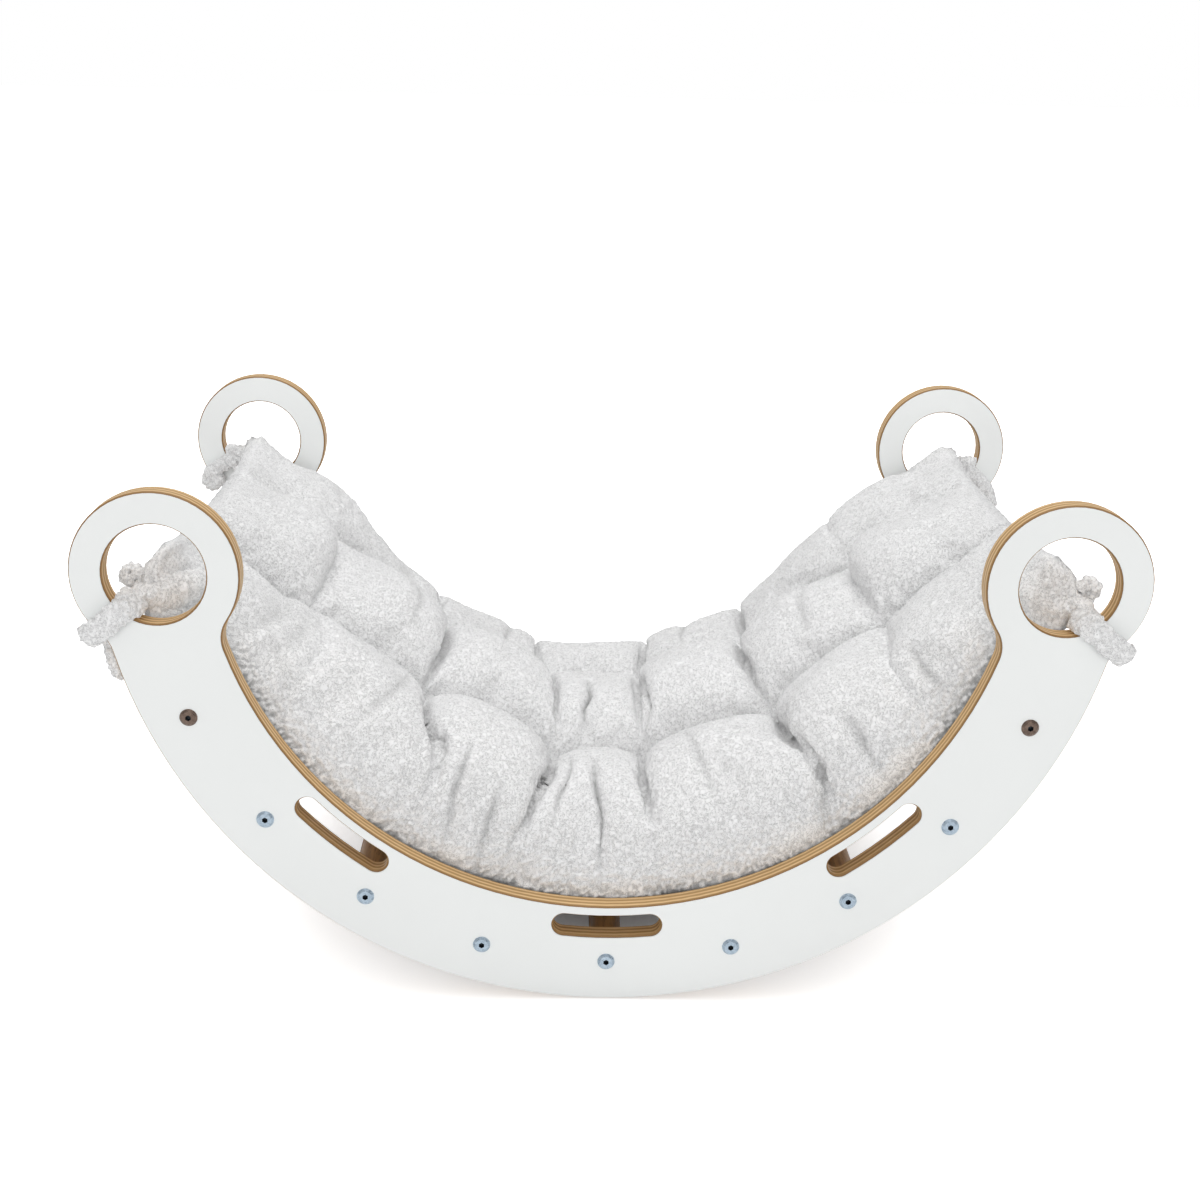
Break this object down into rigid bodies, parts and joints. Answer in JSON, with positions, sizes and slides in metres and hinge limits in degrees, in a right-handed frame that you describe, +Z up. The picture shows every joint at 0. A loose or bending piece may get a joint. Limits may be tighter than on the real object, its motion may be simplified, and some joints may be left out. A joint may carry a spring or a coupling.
{
  "type": "balance rocker",
  "caption": "Child's balance rocker: white-faced plywood crescent sides with ring grips and hand slots, round wooden rungs between them and a tied-on tufted fleece cushion.",
  "frame": {"origin": "on the floor under the lowest point of the runners, midway between the two side panels", "axes": "+X along the rocker to the right as the picture shows it, +Y across it from the front panel to the back panel, +Z up"},
  "size_m": [0.7838, 0.4926, 0.3996],
  "materials": {
    "white_laminate": "satin white laminate",
    "birch_plywood": "routed plywood edge, clear varnish",
    "oiled_beech": "turned and oiled",
    "zinc_steel": "bright zinc plating",
    "white_fleece": "curly pile fleece",
    "fibre_filling": "loose polyester fibre",
    "white_thread": "twisted sewing thread"
  },
  "bodies": {
    "root": {"front_panel_plywood": "birch_plywood", "front_panel_outer_face": "white_laminate", "front_panel_inner_face": "white_laminate", "front_bolts": "zinc_steel", "front_rung_inserts": "zinc_steel", "back_panel_plywood": "birch_plywood", "back_panel_outer_face": "white_laminate", "back_panel_inner_face": "white_laminate", "back_bolts": "zinc_steel", "back_rung_inserts": "zinc_steel", "rung_1": "oiled_beech", "rung_2": "oiled_beech", "rung_3": "oiled_beech", "rung_4": "oiled_beech", "rung_5": "oiled_beech", "rung_6": "oiled_beech", "rung_7": "oiled_beech", "rung_8": "oiled_beech", "rung_9": "oiled_beech", "cushion_top_cover": "white_fleece", "cushion_base_cover": "white_fleece", "cushion_filling": "fibre_filling", "tuft_threads": "white_thread", "front_left_tie_loop": "white_fleece", "front_left_tie_knot": "white_fleece", "front_right_tie_loop": "white_fleece", "front_right_tie_knot": "white_fleece", "back_left_tie_loop": "white_fleece", "back_left_tie_knot": "white_fleece", "back_right_tie_loop": "white_fleece", "back_right_tie_knot": "white_fleece"}
  },
  "joints": []
}
